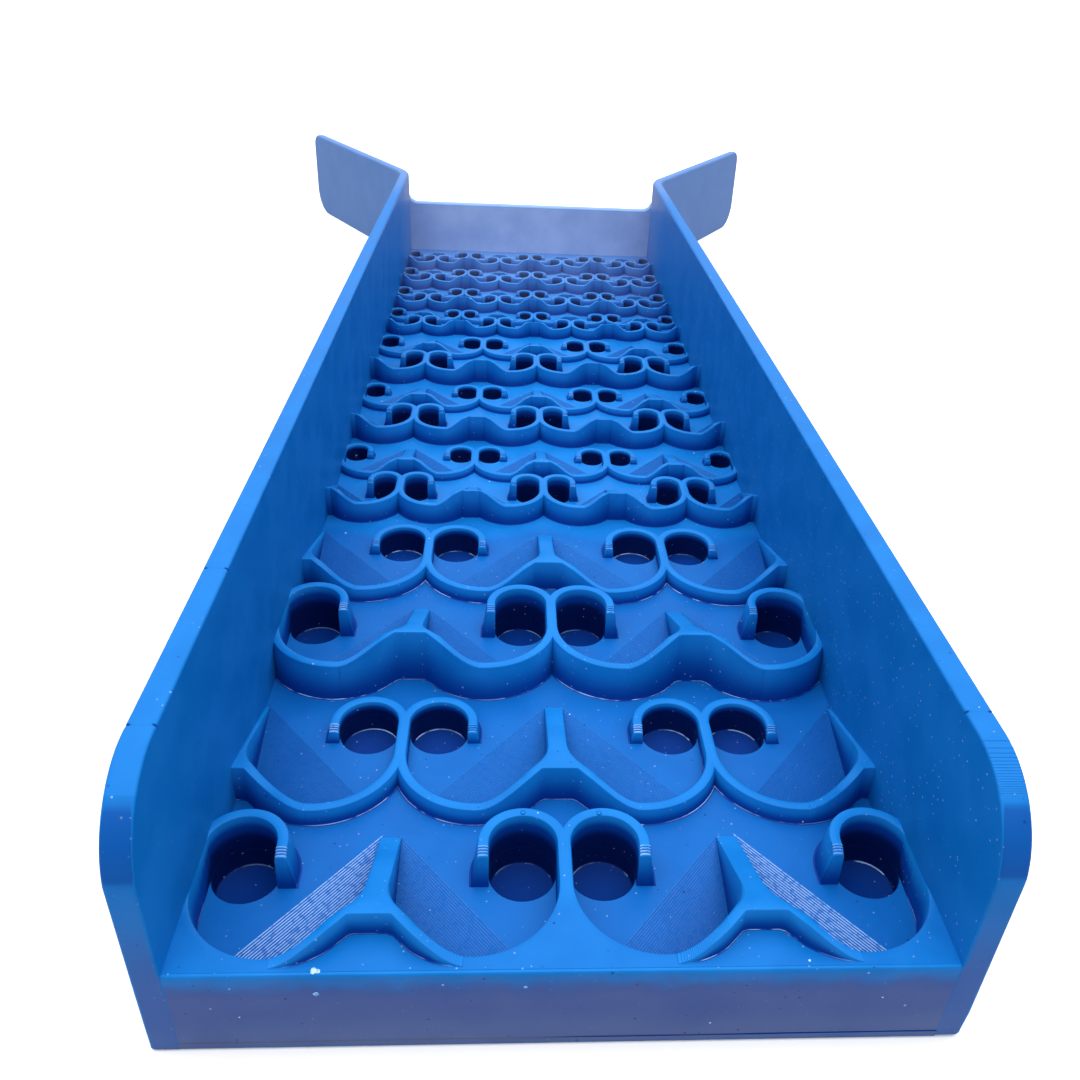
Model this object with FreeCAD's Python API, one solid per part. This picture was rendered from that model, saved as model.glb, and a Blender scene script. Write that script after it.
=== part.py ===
import FreeCAD, Part
import math
import os
from FreeCAD import Vector

# A hand sluice tray: an open channel whose floor carries three zones of scroll
# riffles, coarse at the front lip, then medium, then fine up to a header plate,
# with a flared wing on each side wall behind it. All sizes are millimetres.
# Frame: +Z up with the tray resting on Z = 0, +Y from the front lip towards the
# wings, and the origin at the bottom centre of the whole tray.

# ---- driving dimensions ---------------------------------------------------------
channel_width = 74.6        # clear width between the two side walls
wall_thickness = 2.8        # side walls and flare wings
base_thickness = 6.4        # slab under the riffles
rim_height = 25.5           # wall rim above the channel floor, at the front
wing_rim_height = 23.9      # and at the wings, where the rim has sloped down to it
rim_nose_radius = 10.0      # round front corner of each side wall
bend_radius = 16.0          # inner face of each wall where it bends out to its wing

lip_thickness = 1.8         # front bar across the slab's end
lip_land = 0.3              # thinnest part of the lip, in front of each lobe

header_thickness = 3.0      # cross plate at the flared end
header_height = 14.4        # its top edge above the channel floor
header_gap = 4.6            # from the last row's stems to the header plate

wing_length = 65.5          # flare wing, along its inner face past the bend
wing_angle = 31.5           # degrees outward from the channel's run
wing_foot = 4.1             # its lower edge above the resting surface
wing_top_radius = 3.5       # its outer corner at the rim
wing_foot_radius = 8.0      # its outer corner at the foot

pattern_overhang = 0.7      # how far the riffle pattern runs past each wall's face
divider_width = 1.5         # ridge shared by the two scrolls of a pair
sump_slope = 0.36           # fall of a scroll's sloped sump, height over run
overrun = 1.0               # how far a cutting solid runs past what it cuts

# One scroll of each zone. pairs: scroll pairs across the channel. pitch: from one
# row to the next. tall and low: ridge heights of odd and even rows. crest: how far
# the crest between two pairs stands above its ridge. The y values are measured
# from the crest's flat front. on_walls: odd rows begin with a scroll at each wall.
coarse = dict(name="coarse", pairs=2, rows=4, pitch=22.0, on_walls=True,
              ridge=1.7, tall=5.0, low=2.1, crest=3.0, lobe_y=6.1,
              pocket_radius=3.6, pocket_y=11.2, pocket_depth=2.5, hook_drop=1.7,
              stem_width=2.4, stem_back=16.3)
medium = dict(name="medium", pairs=3, rows=6, pitch=15.35, on_walls=False,
              ridge=1.5, tall=3.4, low=1.4, crest=2.0, lobe_y=4.6,
              pocket_radius=2.0, pocket_y=7.5, pocket_depth=2.0, hook_drop=1.2,
              stem_width=2.0, stem_back=10.9)
fine = dict(name="fine", pairs=4, rows=8, pitch=9.4, on_walls=False,
            ridge=1.2, tall=2.5, low=1.1, crest=1.5, lobe_y=3.6,
            pocket_radius=1.4, pocket_y=5.1, pocket_depth=1.6, hook_drop=0.8,
            stem_width=1.6, stem_back=7.8)
zones = (coarse, medium, fine)

# ---- small helpers --------------------------------------------------------------


def line(a, b):
    return Part.LineSegment(Vector(*a), Vector(*b)).toShape()


def arc(a, middle, b):
    return Part.Arc(Vector(*a), Vector(*middle), Vector(*b)).toShape()


def polygon(points):
    return [line(a, b) for a, b in zip(points, points[1:] + points[:1])]


def face(edges):
    return Part.Face(Part.Wire(edges))


def box(x0, x1, y0, y1, z0, z1):
    return Part.makeBox(x1 - x0, y1 - y0, z1 - z0, Vector(x0, y0, z0))


def on_circle(x, y, radius, degrees):
    turn = math.radians(degrees)
    return (x + radius * math.cos(turn), y + radius * math.sin(turn), 0)


def mirrored(shape):
    return shape.mirror(Vector(0, 0, 0), Vector(1, 0, 0))


# ---- one scroll -----------------------------------------------------------------


class Scroll:
    """One scroll in its own frame: x from the middle of its pair to the middle of
    the crest, y from the crest's flat front, z from the channel floor."""

    def __init__(self, zone):
        self.zone = zone
        self.pair_pitch = (channel_width + 2 * pattern_overhang) / zone["pairs"]
        self.reach = self.pair_pitch / 2
        self.divider_x = divider_width / 2
        self.stem_x = self.reach - zone["stem_width"] / 2
        self.stem_back = zone["stem_back"]
        self.lobe_inner = (self.stem_x - self.divider_x) / 2
        self.lobe_outer = self.lobe_inner + zone["ridge"]
        self.lobe_x = self.divider_x + self.lobe_inner
        self.lobe_y = zone["lobe_y"]
        self.lobe_front = self.lobe_y - self.lobe_outer
        self.pocket_inner = zone["pocket_radius"]
        self.pocket_outer = self.pocket_inner + zone["ridge"]
        self.pocket_x = self.divider_x + self.pocket_inner
        self.pocket_y = zone["pocket_y"]
        self.crest_x = self.lobe_x + math.sqrt(self.lobe_outer ** 2 - self.lobe_y ** 2)
        self.cusp_y = self.lobe_y - math.sqrt(self.lobe_outer ** 2 - self.lobe_x ** 2)
        self.notch_y = self.pocket_y + math.sqrt(self.pocket_outer ** 2 - self.pocket_x ** 2)

    def ridge_plan(self):
        """Hook, round back, divider, lobe, crest and stem as one outline."""
        lobe = (self.lobe_x, self.lobe_y)
        pocket = (self.pocket_x, self.pocket_y)
        cusp, notch = (0, self.cusp_y, 0), (0, self.notch_y, 0)
        crest = (self.crest_x, 0, 0)
        inner_x, outer_x = (self.pocket_x + r for r in (self.pocket_inner, self.pocket_outer))
        end_y = self.pocket_y - self.zone["hook_drop"]
        outer_turn, outer_end = (outer_x, self.pocket_y, 0), (outer_x, end_y, 0)
        inner_turn, inner_end = (inner_x, self.pocket_y, 0), (inner_x, end_y, 0)
        pocket_side = (self.divider_x, self.pocket_y, 0)
        lobe_side = (self.divider_x, self.lobe_y, 0)
        lobe_stem = (self.stem_x, self.lobe_y, 0)
        stem_corner = (self.stem_x, self.stem_back, 0)
        back, front = (self.reach, self.stem_back, 0), (self.reach, 0, 0)
        return face([line(cusp, notch),
                     arc(notch, on_circle(*pocket, self.pocket_outer, 60), outer_turn),
                     line(outer_turn, outer_end), line(outer_end, inner_end),
                     line(inner_end, inner_turn),
                     arc(inner_turn, on_circle(*pocket, self.pocket_inner, 90), pocket_side),
                     line(pocket_side, lobe_side),
                     arc(lobe_side, on_circle(*lobe, self.lobe_inner, 270), lobe_stem),
                     line(lobe_stem, stem_corner), line(stem_corner, back),
                     line(back, front), line(front, crest),
                     arc(crest, on_circle(*lobe, self.lobe_outer, 270), cusp)])

    def under_tops(self, ridge_height):
        """The space under the ridge tops: level to the lobe's front, an S-curve up
        to the crest, then the stem's straight slope down to the floor."""
        top, crest = ridge_height, ridge_height + self.zone["crest"]
        run, rise = self.crest_x - self.lobe_x, crest - top
        bend = (run ** 2 + rise ** 2) / (4 * rise)
        quarter = math.asin(run / (2 * bend)) / 2
        dx, dz = bend * math.sin(quarter), bend * (1 - math.cos(quarter))
        side = self.reach + overrun
        y0, y1 = self.lobe_front - overrun, self.stem_back + overrun
        low, high = (self.lobe_x, y0, top), (self.crest_x, y0, crest)
        middle = ((self.lobe_x + self.crest_x) / 2, y0, (top + crest) / 2)
        profile = face([line((-overrun, y0, 0), (-overrun, y0, top)),
                        line((-overrun, y0, top), low),
                        arc(low, (low[0] + dx, y0, top + dz), middle),
                        arc(middle, (high[0] - dx, y0, crest - dz), high),
                        line(high, (side, y0, crest)), line((side, y0, crest), (side, y0, 0)),
                        line((side, y0, 0), (-overrun, y0, 0))])
        x_cut = (self.lobe_x + self.stem_x) / 2
        over_stem = face(polygon([(x_cut, 0, crest), (x_cut, self.stem_back, 0),
                                  (x_cut, y1, 0), (x_cut, y1, crest + overrun),
                                  (x_cut, 0, crest + overrun)]))
        under = profile.extrude(Vector(0, y1 - y0, 0))
        return under.cut(over_stem.extrude(Vector(side - x_cut, 0, 0)))

    def ridge(self, ridge_height):
        above = ridge_height + self.zone["crest"] + overrun
        prism = self.ridge_plan().extrude(Vector(0, 0, above))
        return prism.common(self.under_tops(ridge_height))

    def pocket(self):
        """The blind round hole under the hook."""
        depth = self.zone["pocket_depth"]
        return Part.makeCylinder(self.pocket_inner, depth,
                                 Vector(self.pocket_x, self.pocket_y, -depth))

    def sump(self):
        """The hollow that falls towards the crest, from the line that joins the
        stem's back to the lobe's centre."""
        start = Vector(self.stem_x, self.stem_back, 0)
        along = Vector(self.lobe_x, self.lobe_y, 0) - start
        along.normalize()
        across = Vector(-along.y, along.x, 0)
        turn = math.degrees(math.atan2(along.y, along.x)) % 360
        lobe = (self.lobe_x, self.lobe_y, self.lobe_inner)
        far, side = on_circle(*lobe, turn), (self.stem_x, self.lobe_y, 0)
        corner = (start.x, start.y, 0)
        plan = face([line(corner, far), arc(far, on_circle(*lobe, (turn + 360) / 2), side),
                     line(side, corner)])
        reach = self.lobe_inner + self.zone["ridge"]
        fall = Vector(0, 0, -sump_slope * reach)
        behind = start - along * reach
        wedge = face(polygon([tuple(p) for p in (behind, behind + across * reach,
                                                 behind + across * reach + fall)]))
        slope = wedge.extrude(along * (self.stem_back + 2 * reach))
        return plan.extrude(fall).common(slope)

    def free_of_lip(self, height):
        """What the lip leaves free for this scroll: its lobe and half its crest."""
        lobe = Part.makeCylinder(self.lobe_outer, height, Vector(self.lobe_x, self.lobe_y, 0))
        return [lobe, box(self.lobe_x, self.reach, 0, self.stem_back, 0, height)]


# ---- places that follow from the sizes --------------------------------------------
floor_z = base_thickness
rim_z = floor_z + rim_height
wing_rim_z = floor_z + wing_rim_height
half_channel = channel_width / 2
half_pattern = half_channel + pattern_overhang
first_row = lip_land - Scroll(coarse).lobe_front
zone_start = {}
next_row = first_row
for zone in zones:
    zone_start[zone["name"]] = next_row
    next_row += zone["rows"] * zone["pitch"]
last_row = next_row - fine["pitch"]
channel_length = last_row + Scroll(fine).stem_back + header_gap
wall_length = channel_length + header_thickness
flare = math.radians(wing_angle)
wing_run = wing_length * math.cos(flare)
front_y = -(wall_length + wing_run) / 2
header_y = front_y + channel_length
wall_end_y = front_y + wall_length
bend_y = wall_end_y - bend_radius * math.sin(flare)


def row_front(zone, row):
    return front_y + zone_start[zone["name"]] + (row - 1) * zone["pitch"]


def scroll_places(zone, row):
    """(x of the pair's middle, side) of each scroll of a row; side -1 is mirrored."""
    pitch = Scroll(zone).pair_pitch
    on_walls = (row % 2 == 1) == zone["on_walls"]
    count = zone["pairs"] + 1 if on_walls else zone["pairs"]
    first = -half_pattern if on_walls else -half_pattern + pitch / 2
    middles = [first + i * pitch for i in range(count)]
    return [(x, side) for x in middles for side in (-1, 1)
            if abs(x + side * pitch / 4) < half_pattern]


def place_row(shapes, zone, row):
    placed = []
    for x, side in scroll_places(zone, row):
        for shape in shapes:
            piece = shape.copy() if side == 1 else mirrored(shape)
            piece.translate(Vector(x, row_front(zone, row), floor_z))
            placed.append(piece)
    return placed


# ---- the pieces -------------------------------------------------------------------


def riffle_row(zone, row):
    height = zone["tall"] if row % 2 == 1 else zone["low"]
    scrolls = place_row([Scroll(zone).ridge(height)], zone, row)
    whole = scrolls[0].fuse(scrolls[1:]).removeSplitter()
    y = row_front(zone, row)
    channel = box(-half_channel, half_channel, y - zone["pitch"], y + zone["pitch"],
                  floor_z, rim_z)
    return whole.common(channel)


def bend(radius):
    """Start, middle and end of the right wall's bend at that radius."""
    centre = (half_channel + bend_radius, bend_y)
    return [on_circle(*centre, radius, 180 - turn) for turn in (0, wing_angle / 2, wing_angle)]


def between_walls(y0, y1, height):
    """What fills the tray from wall to wall, from y0 to y1 and that high."""
    start, middle, end = bend(bend_radius)
    corner = (half_channel, front_y, 0)
    right = [line(corner, start), arc(start, middle, end)]
    left = [mirrored(edge) for edge in right]
    front, back = line((-half_channel, front_y, 0), corner), line((-end[0], end[1], 0), end)
    plan = face(Part.__sortEdges__(right + left + [front, back]))
    solid = plan.extrude(Vector(0, 0, height))
    return solid.common(box(-end[0], end[0], y0, y1, 0, height))


def base_plate():
    slab = between_walls(front_y + lip_thickness, header_y, floor_z)
    hollows = []
    for zone in zones:
        scroll = Scroll(zone)
        for row in range(1, zone["rows"] + 1):
            hollows += place_row([scroll.pocket(), scroll.sump()], zone, row)
    return slab.cut(hollows)


def front_lip():
    land_back = row_front(coarse, 1) + Scroll(coarse).cusp_y
    bar = box(-half_channel, half_channel, front_y, front_y + lip_thickness, 0, floor_z)
    land = box(-half_channel, half_channel, front_y, land_back, floor_z,
               floor_z + coarse["tall"])
    free = place_row(Scroll(coarse).free_of_lip(coarse["tall"] + overrun), coarse, 1)
    return bar.fuse(land.cut(free)).removeSplitter()


def right_side_wall():
    x0, x1 = half_channel, half_channel + wall_thickness
    inner, outer = bend(bend_radius), bend(bend_radius - wall_thickness)
    plan = face([line((x0, front_y, 0), inner[0]), arc(*inner), line(inner[2], outer[2]),
                 arc(outer[2], outer[1], outer[0]), line(outer[0], (x1, front_y, 0)),
                 line((x1, front_y, 0), (x0, front_y, 0))])
    nose_y, nose_z = front_y + rim_nose_radius, rim_z - rim_nose_radius
    turn = rim_nose_radius * math.sqrt(0.5)
    side = face([line((0, front_y, 0), (0, front_y, nose_z)),
                 arc((0, front_y, nose_z), (0, nose_y - turn, nose_z + turn), (0, nose_y, rim_z)),
                 line((0, nose_y, rim_z), (0, bend_y, wing_rim_z)),
                 line((0, bend_y, wing_rim_z), (0, wall_end_y, wing_rim_z)),
                 line((0, wall_end_y, wing_rim_z), (0, wall_end_y, 0)),
                 line((0, wall_end_y, 0), (0, front_y, 0))])
    return plan.extrude(Vector(0, 0, rim_z)).common(side.extrude(Vector(2 * x1, 0, 0)))


def right_flare_wing():
    turn = math.sqrt(0.5)
    top_s, foot_s = wing_length - wing_top_radius, wing_length - wing_foot_radius
    top_z, foot_z = wing_rim_z - wing_top_radius, wing_foot + wing_foot_radius
    side = face([line((0, 0, wing_foot), (0, 0, wing_rim_z)),
                 line((0, 0, wing_rim_z), (top_s, 0, wing_rim_z)),
                 arc((top_s, 0, wing_rim_z),
                     (top_s + wing_top_radius * turn, 0, top_z + wing_top_radius * turn),
                     (wing_length, 0, top_z)),
                 line((wing_length, 0, top_z), (wing_length, 0, foot_z)),
                 arc((wing_length, 0, foot_z),
                     (foot_s + wing_foot_radius * turn, 0, foot_z - wing_foot_radius * turn),
                     (foot_s, 0, wing_foot)),
                 line((foot_s, 0, wing_foot), (0, 0, wing_foot))])
    panel = side.extrude(Vector(0, -wall_thickness, 0))
    panel.rotate(Vector(0, 0, 0), Vector(0, 0, 1), 90 - wing_angle)
    panel.translate(Vector(*bend(bend_radius)[2]))
    return panel


def header_plate():
    return between_walls(header_y, wall_end_y, floor_z + header_height)


def build_parts():
    parts = {"base_plate": base_plate(), "front_lip": front_lip(),
             "header_plate": header_plate(),
             "right_side_wall": right_side_wall(), "right_flare_wing": right_flare_wing()}
    parts["left_side_wall"] = mirrored(parts["right_side_wall"])
    parts["left_flare_wing"] = mirrored(parts["right_flare_wing"])
    for zone in zones:
        for row in range(1, zone["rows"] + 1):
            parts["%s_riffle_row_%d" % (zone["name"], row)] = riffle_row(zone, row)
    return parts


os.makedirs("parts", exist_ok=True)
for node, shape in sorted(build_parts().items()):
    shape.exportStep("parts/%s.step" % node)
    extent = shape.BoundBox
    print("%-22s solids %d  valid %s  volume %9.1f  box %.1f x %.1f x %.1f"
          % (node, len(shape.Solids), shape.isValid(), shape.Volume,
             extent.XLength, extent.YLength, extent.ZLength))
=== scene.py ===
# %% [markdown]
# A hand sluice tray, cast in one piece of blue resin. The real tray came out of a mould that was
# taken from a layer-printed master, so it has no joints at all: side walls, front lip, header
# plate, flared wings and three zones of scroll riffles run into each other. Here each region is
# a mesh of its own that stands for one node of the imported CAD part, in the same frame.

# %% Load the frame
import functools
import itertools
import random
from math import acos, asin, atan2, copysign, cos, degrees, pi, radians, sin, sqrt

import bmesh
import bpy
from mathutils import Matrix, Vector, geometry


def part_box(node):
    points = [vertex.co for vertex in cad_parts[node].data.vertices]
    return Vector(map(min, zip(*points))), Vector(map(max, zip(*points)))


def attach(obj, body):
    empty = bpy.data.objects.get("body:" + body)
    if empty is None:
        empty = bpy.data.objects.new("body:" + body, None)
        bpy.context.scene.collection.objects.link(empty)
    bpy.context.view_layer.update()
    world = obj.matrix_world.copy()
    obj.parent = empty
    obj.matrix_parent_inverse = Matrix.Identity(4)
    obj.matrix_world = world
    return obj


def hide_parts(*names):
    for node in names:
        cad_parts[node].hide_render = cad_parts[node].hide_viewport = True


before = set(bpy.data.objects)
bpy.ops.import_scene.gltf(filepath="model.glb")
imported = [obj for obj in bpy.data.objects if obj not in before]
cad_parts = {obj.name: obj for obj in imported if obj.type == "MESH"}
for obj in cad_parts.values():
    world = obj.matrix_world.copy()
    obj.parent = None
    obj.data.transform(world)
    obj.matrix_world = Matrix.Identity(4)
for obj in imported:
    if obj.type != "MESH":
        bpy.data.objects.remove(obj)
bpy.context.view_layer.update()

scene = bpy.context.scene
MM = 0.001
low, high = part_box("front_lip")
FRONT = low.y / MM                      # front face of the lip
HALF = high.x / MM                      # from the middle to a side wall's inner face
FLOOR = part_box("base_plate")[1].z / MM  # channel floor above the table
LIP_TOP = high.z / MM                   # top of the lip's land
print("front %.2f  half channel %.2f  floor %.2f" % (FRONT, HALF, FLOOR))

# %% [markdown]
# Meshes are collected in millimetres as plain lists of points and faces, because the tray's
# drawing is in millimetres. Two numbers ride along with each point. foot is how much deeper its
# colour gets, mostly painted shade that grows the deeper the point lies below the ridge top beside
# it. edge marks where painted highlight lines go, chiefly along the thin fillet where a ridge
# meets the floor, and a high edge also gives the crumbs their own pale colour. The finish reads
# both.

# %% A shell collects points and faces
def around(count):
    """Pairs of neighbours along a closed ring."""
    return [(k, (k + 1) % count) for k in range(count)]


class Shell:
    def __init__(self):
        self.points, self.faces, self.foot, self.edge = [], [], [], []

    def add(self, point, foot=0.0, edge=0.0):
        self.points.append(tuple(point))
        self.foot.append(foot)
        self.edge.append(edge)
        return len(self.points) - 1

    def skin(self, rings, pairs=None):
        """Adds rings of points (x, y, z, foot, edge) and the faces between each ring and the
        next, for each pair of neighbours along them. The rings are closed where no pairs are
        given. Returns the numbers of the points."""
        rings = [[self.add(p[:3], *p[3:]) for p in ring] for ring in rings]
        for one, two in zip(rings, rings[1:]):
            for a, b in pairs or around(len(one)):
                self.faces.append((one[a], one[b], two[b], two[a]))
        return rings

    def take(self, other, place, flip, glint=1.0):
        """Copies another shell in, moved by place, with its faces turned over if flip."""
        base = len(self.points)
        self.points += [place(p) for p in other.points]
        self.foot += other.foot
        self.edge += [e * glint for e in other.edge]
        for f in other.faces:
            numbers = [base + i for i in f]
            self.faces.append(tuple(reversed(numbers)) if flip else tuple(numbers))


def stand(name, data):
    """A new object in the scene."""
    thing = bpy.data.objects.new(name, data)
    scene.collection.objects.link(thing)
    return thing


print("shells take points, rings and other shells")

# %% [markdown]
# A shell becomes an object, rides on the tray's one body and stands for its CAD nodes. The
# usual recalculation of normals looks at each loose part alone and can turn an open one inside
# out, so each part is checked against its own lowest point.

# %% From a shell to a piece
def face_outwards(work):
    """Turns the faces of each island so that their normals point out of the material: above
    an island's lowest point, more of its area then looks up than down."""
    bmesh.ops.recalc_face_normals(work, faces=work.faces)
    left = set(work.faces)
    for first in work.faces:
        if first not in left:
            continue
        left.remove(first)
        island = [first]
        for face in island:
            for other in (f for edge in face.edges for f in edge.link_faces if f in left):
                left.remove(other)
                island.append(other)
        lowest = min(v.co.z for f in island for v in f.verts)
        flow = sum(f.normal.z * f.calc_area() * (f.calc_center_median().z - lowest)
                   for f in island)
        if flow < 0:
            bmesh.ops.reverse_faces(work, faces=island)


def build_piece(name, shell, material, nodes, smooth=38, flat=False, weld=True):
    """Turns a shell into an object that stands for those CAD nodes. weld joins points that
    coincide and turns the faces outwards; flat keeps broad faces flat beside rounded edges."""
    mesh = bpy.data.meshes.new(name)
    mesh.from_pydata([[c * MM for c in p] for p in shell.points], [], shell.faces)
    # foot carries the painted shade, and edge carries the painted highlights and the crumbs' pale
    # colour
    for label, values in (("foot", shell.foot), ("edge", shell.edge)):
        layer = mesh.attributes.new(label, "FLOAT", "POINT")
        layer.data.foreach_set("value", values)
    work = bmesh.new()
    work.from_mesh(mesh)
    if weld:
        bmesh.ops.remove_doubles(work, verts=work.verts, dist=2e-6)
        bmesh.ops.dissolve_degenerate(work, edges=work.edges, dist=1e-7)
        face_outwards(work)
    work.to_mesh(mesh)
    work.free()
    mesh.shade_smooth()
    mesh.set_sharp_from_angle(angle=radians(smooth))
    mesh.materials.append(material)
    piece = stand(name, mesh)
    if flat:
        weighted = piece.modifiers.new("flat_faces", "WEIGHTED_NORMAL")
        weighted.keep_sharp = True
    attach(piece, "root")
    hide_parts(*nodes)
    print("%-24s %6d points" % (name, len(mesh.vertices)))
    return piece


# %% [markdown]
# The camera stands a hand's width in front of the lip, looks down the channel and tips a
# little to one side. Its place was worked out from the spacing of the riffles.

# %% Camera
def aim_camera(place, pitch, yaw, roll, lens, shift):
    pitch, yaw, roll = (radians(a) for a in (pitch, yaw, roll))
    forward = Vector((sin(yaw) * cos(pitch), cos(yaw) * cos(pitch),
                      -sin(pitch)))
    level = Vector((cos(yaw), -sin(yaw), 0))
    upright = level.cross(forward)
    right = level * cos(roll) + upright * sin(roll)
    up = upright * cos(roll) - level * sin(roll)
    data = bpy.data.cameras.new("camera")
    data.lens, data.sensor_width = lens, 36
    data.shift_x, data.shift_y = shift
    data.clip_start = 0.01          # metres; the lens is close to the lip
    camera = stand("camera", data)
    turn = Matrix((right, up, -forward)).transposed().to_4x4()
    camera.matrix_world = Matrix.Translation(Vector(place) * MM) @ turn
    scene.camera = camera
    return camera


camera = aim_camera((-6.787, FRONT - 56.469, FLOOR + 86.248), 31.712, 4.291, 3.088, 32.776,
                    (-0.0251, 0.0075))
print("camera at", [round(c, 4) for c in camera.location])

# %% [markdown]
# The floor, the sky and the resin are all drawn with nodes. Wiring each node by hand takes
# three or four lines, so a small wrapper does it in one: numbers and colours go into a socket
# as its value, and anything else becomes a link.

# %% Node helpers
class Tree:
    """A thin wrapper round a node tree, for short wiring code."""

    def __init__(self, tree):
        self.tree, self.nodes, self.links = tree, tree.nodes, tree.links

    def wire(self, source, socket):
        if isinstance(source, (int, float)):
            socket.default_value = source
        elif isinstance(source, tuple):
            socket.default_value = (*source, 1) if socket.type == "RGBA" else source
        else:
            self.links.new(source, socket)

    def node(self, kind, *sources, **settings):
        """A new node with these settings, and these sources in its first sockets."""
        node = self.nodes.new("ShaderNode" + kind)
        for label, value in settings.items():
            setattr(node, label, value)
        for source, socket in zip(sources, node.inputs):
            self.wire(source, socket)
        return node

    def math(self, operation, a, b=0.0, clamp=False):
        return self.node("Math", a, b, operation=operation, use_clamp=clamp).outputs[0]

    def times(self, a, b, clamp=False):
        return self.math("MULTIPLY", a, b, clamp)

    def plus(self, a, b):
        return self.math("ADD", a, b)

    def span(self, value, low, high, to_low=0.0, to_high=1.0):
        return self.node("MapRange", value, low, high, to_low, to_high,
                         interpolation_type="SMOOTHSTEP").outputs[0]

    def mix(self, share, a, b):
        node = self.node("Mix", share, data_type="RGBA")
        self.wire(a, node.inputs[6])
        self.wire(b, node.inputs[7])
        return node.outputs[2]

    def noise(self, vector, scale, detail=2.0):
        node = self.node("TexNoise", vector)
        node.inputs["Scale"].default_value = scale
        node.inputs["Detail"].default_value = detail
        return node.outputs["Fac"]

    def split(self, vector):
        return self.node("SeparateXYZ", vector).outputs

    def cells(self, vector, scale):
        node = self.node("TexVoronoi", vector)
        node.inputs["Scale"].default_value = scale
        return node.outputs

    def group(self, tree, **given):
        node = self.node("Group", node_tree=tree)
        for label, source in given.items():
            self.wire(source, node.inputs[label])
        return node.outputs


print("node helpers ready")

# %% [markdown]
# The tray lies on a white sheet in a bright tent, so the light is broad and soft and the
# background is plain white. Lamps would do it too, but a sky that is brighter overhead gives
# the same even light from all sides. Most of it comes from above and a little from behind the
# wings, so the tops are bright and the faces that look at the camera stay darker.

# %% Floor, light and sky
SHEET_HALF = 30       # metres, far past what the camera sees
SHEET_DROP = 0.0001   # metres below the tray, so that the two never touch


def white_sheet():
    """The floor. It looks white, but throws only half of its light back at the tray."""
    h = SHEET_HALF
    data = bpy.data.meshes.new("floor")
    data.from_pydata([(-h, -h, 0), (h, -h, 0), (h, h, 0), (-h, h, 0)], [], [(0, 1, 2, 3)])
    sheet = stand("floor", data)
    sheet.location.z = -SHEET_DROP
    paint = bpy.data.materials.new("white_sheet")
    paint.use_nodes = True
    t = Tree(paint.node_tree)
    shader = t.nodes["Principled BSDF"]
    shader.inputs["Roughness"].default_value = 0.9
    shader.inputs["Specular IOR Level"].default_value = 0.1
    seen = t.node("LightPath").outputs["Is Camera Ray"]
    t.wire(t.mix(seen, (0.45, 0.45, 0.47), (0.9, 0.9, 0.9)), shader.inputs["Base Color"])
    data.materials.append(paint)


def tent_light(low, top, behind):
    """A white tent: its light grows from low at the horizon by top at the zenith, and by
    behind on the side beyond the wings. The camera sees it as plain white."""
    sky = bpy.data.worlds.new("tent")
    scene.world = sky
    sky.use_nodes = True
    t = Tree(sky.node_tree)
    way = t.split(t.node("TexCoord").outputs["Generated"])

    def share(axis, power, amount):
        return t.times(t.math("POWER", t.math("MAXIMUM", way[axis]), power), amount)
    light = t.plus(t.plus(share("Z", 2.2, top), share("Y", 1.0, behind)), low)
    shown = t.node("Mix")
    seen = t.node("LightPath").outputs["Is Camera Ray"]
    for socket, source in ((0, seen), (2, light), (3, 1.0)):
        t.wire(source, shown.inputs[socket])
    background = t.nodes["Background"].inputs
    t.wire(shown.outputs[0], background["Strength"])
    t.wire((1.0, 1.0, 1.0), background["Color"])


white_sheet()
tent_light(0.23, 3.5, 0.5)
scene.view_settings.view_transform = "Standard"
print("white sheet under a white tent")

# %% [markdown]
# The finish is one blue casting resin everywhere. One flat blue would look like paint, so it is
# built from four effects, each a node group that several materials share: the colour, which
# painted shade turns deep and then nearly black towards the foot of a wall and painted sheen mixes
# with a grey violet, painted highlights as pale lines along fillets (they also give the crumbs
# their pale colour), white dust with dark pores, and the grain of the casting.

# %% Groups
def new_group(name, inputs, outputs):
    """A node group. inputs and outputs map a socket's name to its type."""
    tree = bpy.data.node_groups.new(name, "ShaderNodeTree")
    for label, kind in inputs.items():
        tree.interface.new_socket(label, in_out="INPUT", socket_type="NodeSocket" + kind)
    for label, kind in outputs.items():
        tree.interface.new_socket(label, in_out="OUTPUT", socket_type="NodeSocket" + kind)
    into, out = tree.nodes.new("NodeGroupInput"), tree.nodes.new("NodeGroupOutput")
    return Tree(tree), into.outputs, out.inputs


print("each effect is a group with named inputs")

# %% Resin colour, with painted shade towards the foot of a wall and painted sheen
g, take, give = new_group("colour_with_painted_shade_and_sheen", {"Place": "Vector", "Foot": "Float", "Bloom": "Float",
                                           "Haze": "Color"},
                          {"Color": "Color", "Roughness": "Float"})
cloud = g.noise(take["Place"], 130, 3)
top = g.mix(g.span(cloud, 0.35, 0.65), (0.003, 0.143, 0.475), (0.006, 0.163, 0.525))
# painted shade: deep blue where foot reaches 1 and nearly black towards 2.2, at the feet of walls
# and in pockets
deep = g.mix(g.span(take["Foot"], 0.0, 1.0), top, (0.0006, 0.034, 0.24))
night = g.mix(g.span(take["Foot"], 1.0, 2.2), deep, (0.0003, 0.0075, 0.075))
# painted sheen: a grey-violet share mixed in, patchy with the cloud
sheen_amount = g.times(take["Bloom"], g.span(cloud, 0.2, 0.75, 0.75, 1.0))
g.wire(g.mix(sheen_amount, night, take["Haze"]), give["Color"])
g.wire(g.span(cloud, 0.3, 0.7, 0.36, 0.46), give["Roughness"])
colour_with_painted_shade_and_sheen = g.tree
print("resin colour from %d nodes" % len(g.nodes))
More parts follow.
